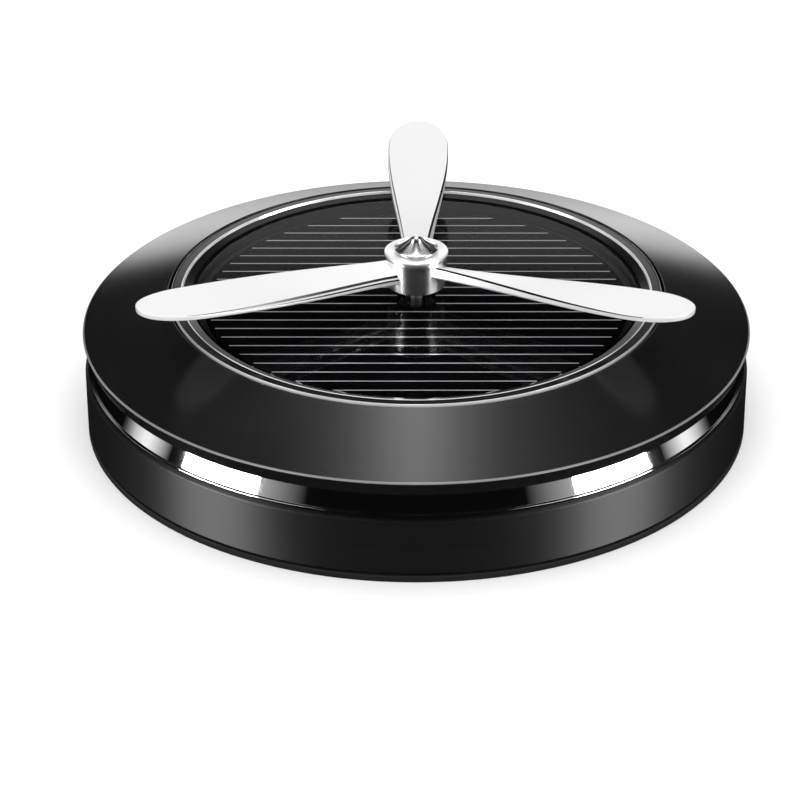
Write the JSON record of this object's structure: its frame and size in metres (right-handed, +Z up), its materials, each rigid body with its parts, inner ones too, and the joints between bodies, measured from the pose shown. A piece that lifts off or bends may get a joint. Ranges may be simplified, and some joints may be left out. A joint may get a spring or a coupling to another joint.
{
  "type": "solar dashboard air freshener",
  "caption": "Round solar spinner for a dashboard: a black housing topped by a solar cell turns a chrome propeller and lifts off its scent tray.",
  "frame": {"origin": "middle of the underside of the non-slip pad, on the surface it stands on", "axes": "+Z up along the motor's shaft; +Y points from the front view's camera side to the back, along the first blade"},
  "size_m": [0.08, 0.08, 0.0235],
  "materials": {
    "anodised_black": "satin black anodised, turned",
    "chrome": "polished chrome",
    "silicone": "matt silicone",
    "balm": "waxy",
    "clear_cover": "clear, polished",
    "silicon_cell": "dark silicon with fine printed lines",
    "board": "black solder mask",
    "black_plastic": "moulded, fine texture",
    "steel": "plated steel",
    "lamination": "stacked sheet",
    "enamelled_copper": "enamelled winding wire",
    "brass": "plain",
    "bronze": "sintered",
    "ferrite": "ground ferrite",
    "red_wire": "insulation",
    "black_wire": "insulation"
  },
  "bodies": {
    "base": {"non_slip_pad": "silicone", "base_tray": "anodised_black", "fragrance_ring": "balm"},
    "housing": {"top_cover": "anodised_black", "trim_ring": "chrome", "bezel_ring": "anodised_black", "cell_cover": "clear_cover", "solar_cell": "silicon_cell", "cell_board": "board", "motor_deck": "black_plastic", "grip_ring": "silicone", "motor_can": "steel", "motor_end_cap": "black_plastic", "magnet_1": "ferrite", "magnet_2": "ferrite", "front_bushing": "bronze", "rear_bushing": "bronze", "brush_1": "brass", "brush_2": "brass", "terminal_1": "brass", "terminal_2": "brass", "wire_red": "red_wire", "wire_black": "black_wire", "motor_screw_1": "steel", "motor_screw_2": "steel", "cover_screw_1": "steel", "cover_screw_2": "steel", "cover_screw_3": "steel"},
    "rotor": {"shaft": "steel", "armature_core": "lamination", "winding_1": "enamelled_copper", "winding_2": "enamelled_copper", "winding_3": "enamelled_copper", "commutator": "brass", "thrust_washer": "bronze", "hub": "chrome", "blade_1": "chrome", "blade_2": "chrome", "blade_3": "chrome", "hub_nut": "chrome"}
  },
  "joints": [
    {"name": "housing_lift", "type": "slide", "parent": "base", "child": "housing", "axis": [0, 0, 1], "range_m": [0, 0.03]},
    {"name": "propeller_spin", "type": "hinge", "parent": "housing", "child": "rotor", "pos_m": [0, 0, 0.0195], "axis": [0, 0, 1], "continuous": true}
  ]
}
